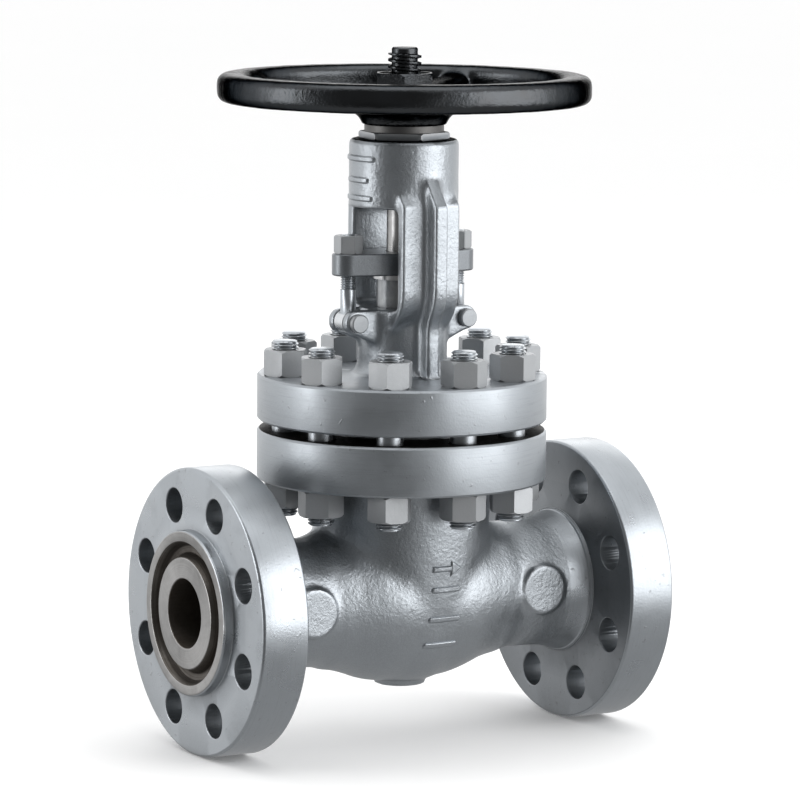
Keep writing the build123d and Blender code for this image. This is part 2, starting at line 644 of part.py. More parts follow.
def main():
    os.makedirs("parts", exist_ok=True)
    save("body", make_body())
    save("seat_ring", make_seat_ring())
    save("bonnet_gasket", make_bonnet_gasket())
    save("bonnet", make_bonnet())
    save("bonnet_studs", make_bonnet_studs())
    lower_nut_z = BODY_FLANGE_BOTTOM_Z - STUD_NUT_HEIGHT
    save("bonnet_nuts_upper", make_bonnet_nuts(BONNET_FLANGE_TOP_Z, UPPER_NUT_TURNS))
    save("bonnet_nuts_lower", make_bonnet_nuts(lower_nut_z, LOWER_NUT_TURNS))
    save("backseat_bushing", make_backseat_bushing())
    save("packing_washer", make_packing_washer())
    save("packing_rings", make_packing_rings())
    save("gland_follower", make_gland_follower())
    save("gland_flange", make_gland_flange())
    for name, side in SIDES.items():
        x = side * PIN_X
        save(f"{name}_side_gland_pin", make_gland_pin(x))
        save(f"{name}_side_eyebolt", make_eyebolt(x))
        save(f"{name}_side_gland_nut", make_gland_nut(x))
    save("stem_key", key_block())
    save("stem", make_stem())
    save("disc", make_disc())
    save("disc_nut", make_disc_nut())
    save("yoke_cap", make_yoke_cap())
    save("yoke_cap_screw", cap_screw_blank())
    save("lower_thrust_washer", tube(SLEEVE_FLANGE_R, STEM_R + 0.6, HEAD_FLOOR_Z, 308.9))
    save("upper_thrust_washer", tube(SLEEVE_FLANGE_R, SLEEVE_R + 0.3, 321.1, CAP_SPIGOT_Z))
    save("yoke_sleeve", make_yoke_sleeve())
    save("wheel_washer", tube(WHEEL_WASHER_R, SLEEVE_R, CAP_TOP_Z + 0.3, HUB_BOTTOM_Z))
    save("wheel_key", wheel_key_block())
    save("handwheel", make_handwheel())
    save("wheel_nut", hexagon(WHEEL_NUT_FLATS, HUB_TOP_Z, WHEEL_NUT_TOP_Z, SLEEVE_R, 2.0))


main()
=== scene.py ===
import json
import math

import bmesh
import bpy
import numpy as np
from mathutils import Matrix, Vector, noise
from mathutils.bvhtree import BVHTree


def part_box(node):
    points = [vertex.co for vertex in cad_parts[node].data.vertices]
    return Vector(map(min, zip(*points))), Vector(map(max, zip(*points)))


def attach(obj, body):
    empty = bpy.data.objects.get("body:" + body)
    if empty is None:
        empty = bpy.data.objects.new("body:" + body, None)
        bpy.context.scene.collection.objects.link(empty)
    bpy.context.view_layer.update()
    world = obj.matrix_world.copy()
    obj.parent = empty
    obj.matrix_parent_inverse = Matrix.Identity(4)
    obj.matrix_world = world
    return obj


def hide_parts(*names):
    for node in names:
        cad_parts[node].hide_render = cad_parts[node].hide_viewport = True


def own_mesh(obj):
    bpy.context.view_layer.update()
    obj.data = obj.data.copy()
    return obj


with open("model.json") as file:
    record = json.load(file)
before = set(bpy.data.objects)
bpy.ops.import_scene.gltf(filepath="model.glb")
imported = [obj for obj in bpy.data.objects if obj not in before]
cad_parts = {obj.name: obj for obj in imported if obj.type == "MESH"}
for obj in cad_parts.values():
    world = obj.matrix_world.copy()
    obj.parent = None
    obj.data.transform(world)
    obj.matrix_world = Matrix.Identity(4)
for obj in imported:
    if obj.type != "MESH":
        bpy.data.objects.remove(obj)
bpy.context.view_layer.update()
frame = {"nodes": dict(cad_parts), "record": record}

nodes = frame["nodes"]
MM = 0.001

# ---- places in the row frame, in metres -------------------------------------------------
MOUNTS = {m["name"]: m for m in frame["record"]["mounts"]}
AXIS_Z = MOUNTS["outlet_bore"]["pos_m"][2]
BORE_R = MOUNTS["outlet_bore"]["dims"]["r_mm"] * MM
FLANGE_PLANE = MOUNTS["outlet_bolts"]["pos_m"][0]
BOLT_CIRCLE_R = MOUNTS["outlet_bolts"]["dims"]["pcd_mm"] * MM / 2
BOLT_HOLE_R = MOUNTS["outlet_bolts"]["dims"]["hole_r_mm"] * MM
FACE_PLANE = MOUNTS["outlet_face"]["pos_m"][0]
FLANGE_BACK = FLANGE_PLANE - 38.1 * MM
HUB_R = 56.0 * MM
FACE_R = 62.0 * MM
BONNET_FLANGE_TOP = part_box("bonnet_nuts_upper")[0].z
BODY_FLANGE_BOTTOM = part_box("bonnet_nuts_lower")[1].z
BODY_FLANGE_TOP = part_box("body")[1].z
BONNET_FLANGE_BOTTOM = BODY_FLANGE_TOP + 7.3 * MM
STUD_LOW, STUD_HIGH = (corner.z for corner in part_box("bonnet_studs"))
STUD_R = 10.0 * MM
STUD_COUNT = 10
STUD_CIRCLE_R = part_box("bonnet_studs")[1].y - STUD_R
STEM_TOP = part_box("stem")[1].z
STEM_R = 12.55 * MM
WHEEL_NUT_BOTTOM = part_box("wheel_nut")[0].z
NUT_ROUND = 1.3 * MM
EDGE_ROUND = 0.7 * MM
JOINT_EDGE_ROUND = 0.6 * MM


# ---- materials --------------------------------------------------------------------------
class Shader:
    """Small wrapper that adds and links nodes of one material."""

    def __init__(self, name):
        self.material = bpy.data.materials.new(name)
        self.material.use_nodes = True
        self.tree = self.material.node_tree
        self.tree.nodes.clear()
        self.output = self.tree.nodes.new("ShaderNodeOutputMaterial")
        self.bsdf = self.tree.nodes.new("ShaderNodeBsdfPrincipled")
        self.tree.links.new(self.bsdf.outputs["BSDF"], self.output.inputs["Surface"])
        coords = self.tree.nodes.new("ShaderNodeTexCoord")
        self.position = coords.outputs["Object"]

    def add(self, kind, **sockets):
        node = self.tree.nodes.new(kind)
        for key, value in sockets.items():
            self.feed(node.inputs[key.replace("_", " ")], value)
        return node

    def feed(self, socket, value):
        if isinstance(value, bpy.types.NodeSocket):
            self.tree.links.new(value, socket)
        else:
            socket.default_value = value

    def set(self, **sockets):
        for key, value in sockets.items():
            self.feed(self.bsdf.inputs[key.replace("_", " ")], value)

    def noise(self, scale, detail=3.0, roughness=0.5, distortion=0.0, vector=None):
        node = self.add("ShaderNodeTexNoise", Scale=scale, Detail=detail, Roughness=roughness,
                        Distortion=distortion, Vector=vector or self.position)
        return node.outputs["Fac"]

    def squeezed(self, axis, around, along):
        """Position scaled much more along one axis than across it, for marks that run round it."""
        node = self.add("ShaderNodeVectorMath")
        node.operation = "MULTIPLY"
        self.feed(node.inputs[0], self.position)
        node.inputs[1].default_value = [along if name == axis else around for name in "XYZ"]
        return node.outputs["Vector"]

    def ring_noise(self, axis, scale, detail=3.0):
        """Noise that changes only with the distance from the pipe or stem axis."""
        node = self.tree.nodes.new("ShaderNodeTexNoise")
        node.noise_dimensions = "1D"
        self.feed(node.inputs["W"], self.radius(axis))
        self.feed(node.inputs["Scale"], scale)
        self.feed(node.inputs["Detail"], detail)
        return node.outputs["Fac"]

    def fit(self, value, low, high, to_low, to_high):
        node = self.tree.nodes.new("ShaderNodeMapRange")
        for key, number in zip(("Value", "From Min", "From Max", "To Min", "To Max"),
                               (value, low, high, to_low, to_high)):
            self.feed(node.inputs[key], number)
        return node.outputs["Result"]

    def math(self, operation, first, second=0.0):
        node = self.tree.nodes.new("ShaderNodeMath")
        node.operation = operation
        self.feed(node.inputs[0], first)
        self.feed(node.inputs[1], second)
        return node.outputs[0]

    def mix(self, fac, first, second, blend="MIX"):
        node = self.tree.nodes.new("ShaderNodeMix")
        node.data_type = "RGBA"
        node.blend_type = blend
        for name, value in (("Factor_Float", fac), ("A_Color", first), ("B_Color", second)):
            self.feed(next(i for i in node.inputs if i.identifier == name), value)
        return next(o for o in node.outputs if o.identifier == "Result_Color")

    def bump(self, height, distance, strength=1.0, normal=None):
        node = self.add("ShaderNodeBump", Height=height, Distance=distance, Strength=strength)
        if normal is not None:
            self.feed(node.inputs["Normal"], normal)
        return node.outputs["Normal"]

    def edges(self, low, high, at_low, at_high):
        """Number that runs between two values with how sharply the surface turns outwards."""
        geometry = self.tree.nodes.new("ShaderNodeNewGeometry")
        return self.fit(geometry.outputs["Pointiness"], low, high, at_low, at_high)

    def occlusion(self, distance):
        """1 in the open, towards 0 in a corner or a gap."""
        node = self.tree.nodes.new("ShaderNodeAmbientOcclusion")
        node.samples = 4
        node.inputs["Distance"].default_value = distance
        return node.outputs["AO"]

    def radius(self, axis):
        """Distance from the pipe axis ("X") or from the stem axis ("Z")."""
        split = self.add("ShaderNodeSeparateXYZ", Vector=self.position)
        if axis == "X":
            first = split.outputs["Y"]
            second = self.math("SUBTRACT", split.outputs["Z"], AXIS_Z)
        else:
            first = split.outputs["X"]
            second = split.outputs["Y"]
        return self.math("SQRT", self.math("ADD", self.math("MULTIPLY", first, first),
                                           self.math("MULTIPLY", second, second)))


def grey(value, tint=0.0):
    """Neutral colour, bluer for a positive tint and browner for a negative one."""
    return (value * (1 - tint), value, value * (1 + tint), 1.0)


ENAMEL_TINT = 0.065


def silver_enamel(name, cast, tone=0.34, rough=0.34, wear_and_highlight_from=0.53):
    """Silver-grey enamel. cast is how rough the casting under it is, from 0 to 1.

    The last argument is how sharp an outside edge has to be before it is lightened,
    partly as wear and partly as a painted highlight.
    """
    s = Shader(name)
    cloud = s.noise(26.0, 4.0, 0.6)
    sand = s.noise(400.0, 4.0, 0.6)
    speck = s.noise(1700.0, 2.0, 0.5)
    colour = s.mix(cloud, grey(tone * 0.88, ENAMEL_TINT), grey(tone * 1.12, ENAMEL_TINT))
    colour = s.mix(s.fit(speck, 0.42, 0.66, 0.0, 0.40), colour, grey(tone * 1.45, ENAMEL_TINT))
    # Painted shade: darker in corners, creases and gaps, found by ambient occlusion.
    painted_shade = s.fit(s.occlusion(7 * MM), 0.30, 0.85, 0.50, 0.0)
    colour = s.mix(painted_shade, colour, grey(tone * 0.30, 0.02))
    # Sharp outside edges lighter: partly wear, partly a painted highlight.
    wear_and_highlight = s.edges(wear_and_highlight_from, wear_and_highlight_from + 0.07, 0.0, 0.6)
    colour = s.mix(wear_and_highlight, colour, grey(min(tone * 1.9, 0.9), 0.02))
    lumps = s.bump(s.noise(95.0, 3.0, 0.55), 0.6 * MM * cast, 0.45)
    grain = s.bump(sand, 0.42 * MM * cast, 0.85, lumps)
    flakes = s.bump(speck, 0.05 * MM, 0.4, grain)
    s.set(Base_Color=colour, Metallic=0.92, Normal=flakes,
          Roughness=s.fit(cloud, 0.3, 0.7, rough - 0.05, rough + 0.09))
    s.set(Coat_Weight=0.10, Coat_Roughness=0.22)
    return s.material


def turned_enamel(name, axis, tone=0.39, rough=0.30):
    """Thin silver enamel over a turned surface: tool rings and pin-head specks show through."""
    s = Shader(name)
    cloud = s.noise(34.0, 4.0, 0.55)
    fine = s.noise(620.0, 3.0, 0.5)
    split = s.add("ShaderNodeSeparateXYZ", Vector=s.position)
    along = s.math("ADD", split.outputs[axis], s.math("MULTIPLY", s.noise(90.0, 2.0), 1.2 * MM))
    feed_marks = s.math("SINE", s.math("MULTIPLY", along, 2 * math.pi / (0.9 * MM)))
    specks = s.fit(s.noise(240.0, 2.0, 0.4), 0.68, 0.78, 0.0, 1.0)
    colour = s.mix(cloud, grey(tone * 0.92, ENAMEL_TINT), grey(tone * 1.08, ENAMEL_TINT))
    streak = s.noise(1.0, 4.0, 0.7, vector=s.squeezed(axis, 30.0, 1100.0))
    colour = s.mix(s.fit(streak, 0.52, 0.70, 0.0, 0.30), colour, grey(tone * 0.62, ENAMEL_TINT))
    colour = s.mix(s.math("MULTIPLY", specks, 0.4), colour, grey(tone * 0.5, 0.0))
    # Painted shade: darker in corners, creases and gaps, found by ambient occlusion.
    painted_shade = s.fit(s.occlusion(7 * MM), 0.35, 0.90, 0.60, 0.0)
    colour = s.mix(painted_shade, colour, grey(tone * 0.30, 0.02))
    # Sharp outside edges lighter: partly wear, partly a painted highlight.
    wear_and_highlight = s.edges(0.53, 0.60, 0.0, 0.7)
    colour = s.mix(wear_and_highlight, colour, grey(min(tone * 2.1, 0.9), 0.02))
    rings = s.bump(feed_marks, 0.035 * MM, s.fit(cloud, 0.35, 0.65, 0.05, 0.5))
    skin = s.bump(fine, 0.16 * MM, 0.5, rings)
    dents = s.bump(specks, 0.25 * MM, 0.5, skin)
    s.set(Base_Color=colour, Metallic=0.92, Normal=dents,
          Roughness=s.fit(cloud, 0.3, 0.7, rough - 0.05, rough + 0.08))
    s.set(Coat_Weight=0.12, Coat_Roughness=0.20)
    return s.material


def bare_steel(name, tone, tint, rough, axis="X", pitch=0.5 * MM, stain_depth=0.55, brushed=0.0):
    """Turned metal: fine rings about the pipe or stem axis, with faint stains.

    brushed stretches the reflections across the rings of a turned face.
    """
    s = Shader(name)
    rings = s.math("SINE", s.math("MULTIPLY", s.radius(axis), 2 * math.pi / pitch))
    cloud = s.noise(70.0, 5.0, 0.65, 0.8)
    stain = s.math("ADD", s.math("MULTIPLY", cloud, 0.55),
                   s.math("MULTIPLY", s.ring_noise(axis, 1500.0), 0.45))
    fine = s.noise(900.0, 3.0, 0.5)
    colour = s.mix(s.fit(stain, 0.38, 0.66, 0.0, 1.0), grey(tone, tint),
                   grey(tone * stain_depth, tint * 1.8))
    # Painted shade: darker in corners, creases and gaps, found by ambient occlusion.
    painted_shade = s.fit(s.occlusion(8 * MM), 0.30, 0.90, 0.7, 0.0)
    colour = s.mix(painted_shade, colour, grey(tone * 0.25, tint * 2))
    # Sharp outside edges lighter: partly wear, partly a painted highlight.
    wear_and_highlight = s.edges(0.53, 0.60, 0.0, 0.6)
    colour = s.mix(wear_and_highlight, colour, grey(min(tone * 1.6, 0.9), 0.0))
    grooves = s.bump(rings, 0.04 * MM, 0.4)
    s.set(Base_Color=colour, Metallic=1.0, Roughness=s.fit(stain, 0.3, 0.7, rough, rough + 0.14),
          Normal=s.bump(fine, 0.05 * MM, 0.3, grooves))
    if brushed > 0:
        tangent = s.tree.nodes.new("ShaderNodeTangent")
        tangent.direction_type = "RADIAL"
        tangent.axis = axis
        s.set(Anisotropic=brushed, Tangent=tangent.outputs["Tangent"])
    return s.material


def gloss_black(name, rough=0.11, lump=1.0, shine=0.065):
    """Thick black gloss enamel over a rough casting, with little glare at shallow angles."""
    s = Shader(name)
    cloud = s.noise(40.0, 4.0, 0.6)
    peel = s.bump(s.noise(150.0, 3.0, 0.6), 0.55 * MM * lump, 0.6)
    fine = s.bump(s.noise(640.0, 3.0, 0.6), 0.50 * MM * lump, 1.0, peel)
    colour = s.mix(cloud, grey(shine * 0.8), grey(shine * 1.2, 0.1))
    # Sharp outside edges lighter: partly wear, partly a painted highlight.
    colour = s.mix(s.edges(0.56, 0.66, 0.0, 0.20), colour, grey(0.10))
    s.set(Base_Color=colour, Metallic=1.0, Normal=fine,
          Roughness=s.fit(cloud, 0.3, 0.7, rough, rough + 0.12))
    s.set(Specular_Tint=grey(0.12))
    return s.material


def braided_graphite(name):
    s = Shader(name)
    weave = s.noise(700.0, 2.0, 0.5)
    s.set(Base_Color=s.mix(weave, grey(0.02), grey(0.07)),
          Roughness=s.fit(weave, 0.3, 0.7, 0.55, 0.8), Normal=s.bump(weave, 0.3 * MM, 0.6))
    return s.material


cast_enamel = silver_enamel("cast_silver_enamel", 1.0)
pipe_flange_enamel = turned_enamel("pipe_flange_enamel", "X")
joint_flange_enamel = turned_enamel("joint_flange_enamel", "Z", 0.37, 0.41)
# Painted shade: the flange enamel made darker for the flanges' back faces, turned away from the
# lights.
flange_back_painted_shade = turned_enamel("flange_back_painted_shade", "X", 0.21, 0.42)
# Painted shade: near-black metal for the faces inside the joint's gap.
gap_painted_shade = bare_steel("joint_gap_painted_shade", 0.035, -0.05, 0.50, "Z", 0.5 * MM)
# Painted shade: the flange enamel made darker for the insides of the bolt holes.
hole_painted_shade = turned_enamel("bolt_hole_painted_shade", "X", 0.28, 0.42)
nut_enamel = silver_enamel("nut_silver_enamel", 0.30, 0.27, 0.52, 0.505)
stud_enamel = silver_enamel("stud_silver_enamel", 0.12, 0.42, 0.30)
gland_enamel = silver_enamel("gland_grey_enamel", 0.35, 0.20, 0.36)
face_steel = bare_steel("turned_joint_face", 0.33, -0.01, 0.30, "X", 0.9 * MM, 0.7, 0.75)
groove_steel = bare_steel("turned_groove", 0.13, -0.08, 0.34, "X", 0.7 * MM)
bore_steel = bare_steel("rough_bore", 0.20, -0.10, 0.50, "X", 0.9 * MM)
stem_steel = bare_steel("ground_stem", 0.40, 0.0, 0.22, "Z", 0.5 * MM)
trim_steel = bare_steel("stainless_trim", 0.42, 0.03, 0.26, "Z", 0.5 * MM)
# Painted shade: the silver enamel made darker for the cap under the handwheel.
cap_shaded_enamel = silver_enamel("cap_painted_shade_enamel", 0.2, 0.26, 0.36)
# Near-black gloss for the upward faces at the tops of the cap and the yoke head.
near_black_top = gloss_black("near_black_top", 0.35, 0.6, 0.02)
# Painted shade: the washer under the handwheel's hub made dark.
washer_painted_shade = bare_steel("washer_painted_shade", 0.11, -0.05, 0.42, "Z", 0.5 * MM)
bronze = bare_steel("turned_bronze", 0.34, -0.12, 0.34, "Z", 0.5 * MM)
black = gloss_black("black_gloss_enamel", 0.07, 0.45, 0.065)
black_screw = gloss_black("black_oiled_screw", 0.16, 0.25)
graphite = braided_graphite("braided_graphite")

FINISHES = {
    "silver_paint": cast_enamel,
    "nut_paint": nut_enamel,
    "stud_paint": stud_enamel,
    "gland_paint": gland_enamel,
    "gland_hardware": nut_enamel,
    "stainless": trim_steel,
    "stem_steel": stem_steel,
    "soft_iron": trim_steel,
    "graphite": graphite,
    "bronze": bronze,
    "black_gloss": black,
}
SLOTS = {s["node"]: s["material_slot"] for s in frame["record"]["subparts"]}


# ---- mesh helpers -----------------------------------------------------------------------
def cad_shape(name):
    """Welded copy of a CAD node's mesh in row coordinates."""
    shape = bmesh.new()
    shape.from_mesh(nodes[name].data)
    shape.transform(nodes[name].matrix_world)
    bmesh.ops.remove_doubles(shape, verts=shape.verts, dist=1e-6)
    return shape


def keep_side(shape, point, normal):
    """Cut a shape by a plane and throw away the side the normal points away from."""
    everything = shape.verts[:] + shape.edges[:] + shape.faces[:]
    bmesh.ops.bisect_plane(shape, geom=everything, plane_co=point, plane_no=normal, clear_inner=True)
    return shape


def merged(shapes):
    """One mesh from several shapes."""
    mesh = bpy.data.meshes.new("merged")
    whole = bmesh.new()
    for shape in shapes:
        part = bpy.data.meshes.new("part")
        shape.to_mesh(part)
        shape.free()
        whole.from_mesh(part)
        bpy.data.meshes.remove(part)
    whole.to_mesh(mesh)
    whole.free()
    return mesh


def voxel_copy(shape, size):
    """Closed, evenly meshed copy of a shape."""
    mesh = bpy.data.meshes.new("solid")
    shape.to_mesh(mesh)
    shape.free()
    solid = bpy.data.objects.new("solid", mesh)
    bpy.context.scene.collection.objects.link(solid)
    remesh = solid.modifiers.new("even", "REMESH")
    remesh.mode = "VOXEL"
    remesh.voxel_size = size
    graph = bpy.context.evaluated_depsgraph_get()
    even = bpy.data.meshes.new_from_object(solid.evaluated_get(graph))
    bpy.data.objects.remove(solid)
    return even


def read_points(mesh):
    flat = np.empty(len(mesh.vertices) * 3)
    mesh.vertices.foreach_get("co", flat)
    return flat.reshape(-1, 3)


def write_points(mesh, points):
    mesh.vertices.foreach_set("co", points.ravel())
    mesh.update()


def read_normals(mesh):
    flat = np.empty(len(mesh.vertices) * 3)
    mesh.vertex_normals.foreach_get("vector", flat)
    return flat.reshape(-1, 3)


def soften(mesh, outside, smooth_passes, fill_passes, ridge_gain=0.06):
    """Round a casting: a little everywhere, then much more in its inside corners.

    outside holds 1 for each vertex that may move and 0 for the others.
    """
    points = read_points(mesh)
    count = len(points)
    ends = np.empty(len(mesh.edges) * 2, dtype=np.int64)
    mesh.edges.foreach_get("vertices", ends)
    first = ends[0::2]
    second = ends[1::2]
    degree = np.bincount(first, minlength=count) + np.bincount(second, minlength=count)
    for step in range(smooth_passes + fill_passes):
        total = np.empty_like(points)
        for k in range(3):
            total[:, k] = np.bincount(first, points[second, k], count)
            total[:, k] += np.bincount(second, points[first, k], count)
        move = total / degree[:, None] - points
        gain = np.full(count, 0.5)
        if step >= smooth_passes:
            if (step - smooth_passes) % 6 == 0:
                write_points(mesh, points)
                normals = read_normals(mesh)
            hollow = (move * normals).sum(axis=1) > 0
            gain = np.where(hollow, 0.6, ridge_gain)
        points += move * (gain * outside)[:, None]
    write_points(mesh, points)


def add_lumps(mesh, outside, height, scale):
    """Uneven surface of a sand casting, in and out along the normals."""
    points = read_points(mesh)
    normals = read_normals(mesh)
    rise = np.array([noise.fractal(Vector(p) * scale, 0.7, 2.1, 3) for p in points])
    points += normals * (rise * outside * height)[:, None]
    write_points(mesh, points)


def as_piece(name, mesh, body, slot, replaced, *materials):
    """New visible object made from a mesh in row coordinates."""
    piece = bpy.data.objects.new(name, mesh)
    bpy.context.scene.collection.objects.link(piece)
    mesh.materials.clear()
    for material in materials:
        mesh.materials.append(material)
    mesh.shade_smooth()
    mesh.set_sharp_from_angle(angle=math.radians(32))
    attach(piece, body)
    if replaced:
        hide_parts(*replaced)
    return piece


def break_edges(piece, width, angle=32):
    """Small round on every sharp edge."""
    bevel = piece.modifiers.new("broken_edges", "BEVEL")
    bevel.width = width
    bevel.segments = 2
    bevel.limit_method = "ANGLE"
    bevel.angle_limit = math.radians(angle)
    bevel.use_clamp_overlap = True
    bevel.harden_normals = False


# ---- castings ---------------------------------------------------------------------------
SKIN_END_X = 122 * MM
SKIN_TOP_Z = BODY_FLANGE_BOTTOM - 5 * MM
SIDE_BOSSES = ((-102.0 * MM, 0.5 * MM), (98.0 * MM, 2.5 * MM))
SIDE_BOSS_FACE_Y = 51 * MM
SIDE_BOSS_FLAT_R = 17.5 * MM
SIDE_BOSS_ROOT_R = 23 * MM
SIDE_BOSS_ROOT_Y = 40 * MM
BOTTOM_BOSS_REACH = 26 * MM
BOTTOM_BOSS_TOP_Z = AXIS_Z - 55 * MM
PASSAGE_REACH = 38 * MM
CHAMBER_REACH = 45 * MM
CHAMBER_FOOT = -20 * MM
BOWL_REACH = 37 * MM
BOWL_DROP = 18 * MM
GAP_REACH_Z = 9 * MM
GAP_REACH_R = STUD_CIRCLE_R + 9 * MM
SKIN_FOOT_Z = BONNET_FLANGE_TOP + 1.5 * MM
YOKE_HEAD_FOOT_Z = AXIS_Z + 290 * MM
YOKE_HEAD_HOLE_R = 31 * MM
STUFFING_BOX_R = 26 * MM
WHEEL_HUB_R = 22 * MM
PAINT, FACE, GROOVE, BORE, HOLE, BACK = range(6)


def in_cavity(point):
    """True inside the body's passages, its bowl under the seat and its chamber."""
    x, y, z = point
    z -= AXIS_Z
    in_passage = math.hypot(y, z) < PASSAGE_REACH
    in_chamber = math.hypot(x, y) < CHAMBER_REACH and z > CHAMBER_FOOT
    in_bowl = math.hypot(x, y, z + BOWL_DROP) < BOWL_REACH
    return in_passage or in_chamber or in_bowl


def flatten_side_bosses(mesh):
    """Put the faces of the side bosses back on their plane."""
    points = read_points(mesh)
    for x, z in SIDE_BOSSES:
        from_boss = np.hypot(points[:, 0] - x, points[:, 2] - AXIS_Z - z)
        near_face = np.abs(points[:, 1]) > SIDE_BOSS_FACE_Y - 1.5 * MM
        on_face = near_face & (from_boss < SIDE_BOSS_FLAT_R)
        points[on_face, 1] = np.sign(points[on_face, 1]) * SIDE_BOSS_FACE_Y
    write_points(mesh, points)


def make_body_skin():
    """Cast middle of the body, with its creases and boss roots filled and a sandy surface."""
    mesh = voxel_copy(cad_shape("body"), 1.3 * MM)
    points = read_points(mesh)
    from_stem = np.hypot(points[:, 0], points[:, 1])
    inside = np.array([in_cavity(point) for point in points])
    fade = np.clip((SKIN_END_X - np.abs(points[:, 0])) / (6 * MM), 0, 1)
    fade *= np.clip((SKIN_TOP_Z - points[:, 2]) / (4 * MM), 0, 1)
    on_bottom_boss = (from_stem < BOTTOM_BOSS_REACH) & (points[:, 2] < BOTTOM_BOSS_TOP_Z)
    on_side_boss = np.zeros(len(points), dtype=bool)
    for x, z in SIDE_BOSSES:
        from_boss = np.hypot(points[:, 0] - x, points[:, 2] - AXIS_Z - z)
        on_edge = (from_boss > SIDE_BOSS_FLAT_R) & (from_boss < SIDE_BOSS_ROOT_R)
        on_side_boss |= on_edge & (np.abs(points[:, 1]) > SIDE_BOSS_ROOT_Y)
    outside = np.where(inside, 0.0, np.where(on_bottom_boss | on_side_boss, 0.15 * fade, fade))
    soften(mesh, outside, 5, 70)
    add_lumps(mesh, outside, 0.15 * MM, 55.0)
    flatten_side_bosses(mesh)
    skin = bmesh.new()
    skin.from_mesh(mesh)
    keep_side(skin, (SKIN_END_X, 0, 0), (-1, 0, 0))
    keep_side(skin, (-SKIN_END_X, 0, 0), (1, 0, 0))
    keep_side(skin, (0, 0, SKIN_TOP_Z), (0, 0, -1))
    surface = merged([skin])
    piece = as_piece("body_casting", surface, "valve_body", "silver_paint", ["body"],
                     cast_enamel, bore_steel)
    for face in surface.polygons:
        face.material_index = 1 if in_cavity(face.center) else 0
    return piece


def pipe_flange_material(face):
    """Index into the pipe flange's materials for one face of its mesh."""
    x, y, z = face.center
    radius = math.hypot(y, z - AXIS_Z)
    if radius < BORE_R + 0.3 * MM:
        return BORE
    if abs(x) > FACE_PLANE - 0.1 * MM:
        return FACE
    if abs(x) > FLANGE_PLANE - 0.1 * MM and radius < FACE_R - 1.5 * MM:
        return GROOVE
    # Back faces of the flange get the darker enamel that paints their shade.
    if abs(x) < FLANGE_BACK + 0.1 * MM and radius > HUB_R:
        return BACK
    # Faces inside the bolt holes get the darker enamel that paints their shade.
    sideways = abs(face.normal.x) < 0.3 and abs(x) > FLANGE_BACK
    in_hole = sideways and abs(radius - BOLT_CIRCLE_R) < BOLT_HOLE_R + 0.5 * MM
    return HOLE if in_hole else PAINT


def make_pipe_flanges():
    """Both pipe flanges, with the materials in the order of PAINT to BACK."""
    for name, side in (("inlet", -1), ("outlet", 1)):
        shape = keep_side(cad_shape("body"), (side * SKIN_END_X, 0, 0), (side, 0, 0))
        mesh = merged([shape])
        piece = as_piece(f"{name}_flange", mesh, "valve_body", "silver_paint", ["body"],
                         pipe_flange_enamel, face_steel, groove_steel, bore_steel, hole_painted_shade,
                         flange_back_painted_shade)
        for face in mesh.polygons:
            face.material_index = pipe_flange_material(face)
        break_edges(piece, EDGE_ROUND)


def paint_gap_shade(piece, gap_z):
    """Painted shade: near-black on the joint's whole flat face at gap_z, and on flat faces close to
    it that stop short of the flange's edge.
    """
    for face in piece.data.polygons:
        x, y, z = face.center
        in_gap = abs(z - gap_z) < 0.1 * MM or math.hypot(x, y) < GAP_REACH_R
        flat = abs(face.normal.z) > 0.9 and abs(z - gap_z) < GAP_REACH_Z
        face.material_index = 1 if flat and in_gap else 0


def make_joint_flanges():
    shape = cad_shape("body")
    keep_side(shape, (0, 0, SKIN_TOP_Z), (0, 0, 1))
    keep_side(shape, (SKIN_END_X, 0, 0), (-1, 0, 0))
    keep_side(shape, (-SKIN_END_X, 0, 0), (1, 0, 0))
    body_flange = as_piece("body_joint_flange", merged([shape]), "valve_body", "silver_paint",
                           ["body"], joint_flange_enamel, gap_painted_shade)
    paint_gap_shade(body_flange, BODY_FLANGE_TOP)
    break_edges(body_flange, JOINT_EDGE_ROUND)
    shape = keep_side(cad_shape("bonnet"), (0, 0, SKIN_FOOT_Z), (0, 0, -1))
    bonnet_flange = as_piece("bonnet_joint_flange", merged([shape]), "valve_body", "silver_paint",
                             ["bonnet"], joint_flange_enamel, gap_painted_shade)
    paint_gap_shade(bonnet_flange, BONNET_FLANGE_BOTTOM)
    break_edges(bonnet_flange, JOINT_EDGE_ROUND)


def make_yoke_skin():
    """Bonnet neck, arms, lugs and yoke head with soft roots between them."""
    mesh = voxel_copy(cad_shape("bonnet"), 1.0 * MM)
    points = read_points(mesh)
    from_stem = np.hypot(points[:, 0], points[:, 1])
    in_head = (points[:, 2] > YOKE_HEAD_FOOT_Z) & (from_stem < YOKE_HEAD_HOLE_R)
    in_box = from_stem < STUFFING_BOX_R
    outside = np.where(in_head | in_box, 0.0, 1.0)
    outside *= np.clip((points[:, 2] - SKIN_FOOT_Z) / (3 * MM), 0, 1)
    soften(mesh, outside, 4, 60)
    add_lumps(mesh, outside, 0.12 * MM, 60.0)
    skin = bmesh.new()
    skin.from_mesh(mesh)
    keep_side(skin, (0, 0, SKIN_FOOT_Z), (0, 0, 1))
    surface = merged([skin])
    piece = as_piece("yoke_casting", surface, "valve_body", "silver_paint", ["bonnet"],
                     cast_enamel, near_black_top)
    # The upward faces at the top of the yoke head are near-black.
    head_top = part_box("bonnet")[1].z - 0.8 * MM
    for face in surface.polygons:
        face.material_index = 1 if face.normal.z > 0.8 and face.center.z > head_top else 0
    return piece


